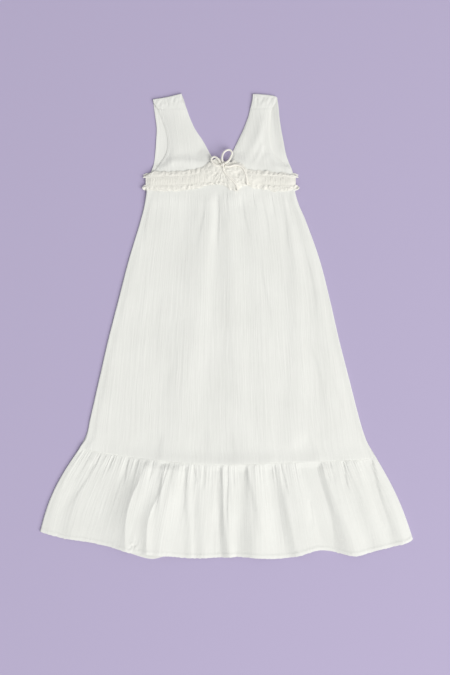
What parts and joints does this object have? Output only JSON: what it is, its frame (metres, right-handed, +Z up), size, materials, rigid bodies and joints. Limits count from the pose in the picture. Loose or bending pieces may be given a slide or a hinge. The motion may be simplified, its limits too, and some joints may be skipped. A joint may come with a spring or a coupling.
{
  "type": "girl's muslin dress laid flat",
  "caption": "Sleeveless V-neck child's dress in crinkled muslin, laid flat: wide straps, shirred waist band with frills and a tied bow, A-line skirt and gathered flounce.",
  "frame": {"origin": "middle of the dress's outline, on the surface that it lies on", "axes": "+Z up out of the front of the dress, +Y towards the shoulders, +X to the right seen from above"},
  "size_m": [0.652, 0.8135, 0.0162],
  "materials": {
    "muslin": "crinkled off-white double-gauze cotton muslin, matt",
    "cream_muslin": "the same muslin shirred and frilled, a little creamier where it is bunched",
    "cord": "thin rolled cotton drawstring"
  },
  "bodies": {
    "root": {"skirt_front": "muslin", "skirt_back": "muslin", "flounce_front": "muslin", "flounce_back": "muslin", "bodice_front_left": "muslin", "bodice_front_right": "muslin", "bodice_back_left": "muslin", "bodice_back_right": "muslin", "band_casing_front": "cream_muslin", "frill_top_front": "cream_muslin", "frill_bottom_front": "cream_muslin", "band_casing_back": "cream_muslin", "frill_top_back": "cream_muslin", "frill_bottom_back": "cream_muslin", "bow_knot": "cord", "bow_loop_left": "cord", "bow_loop_right": "cord", "bow_end_left": "cord", "bow_end_right": "cord"}
  },
  "joints": []
}
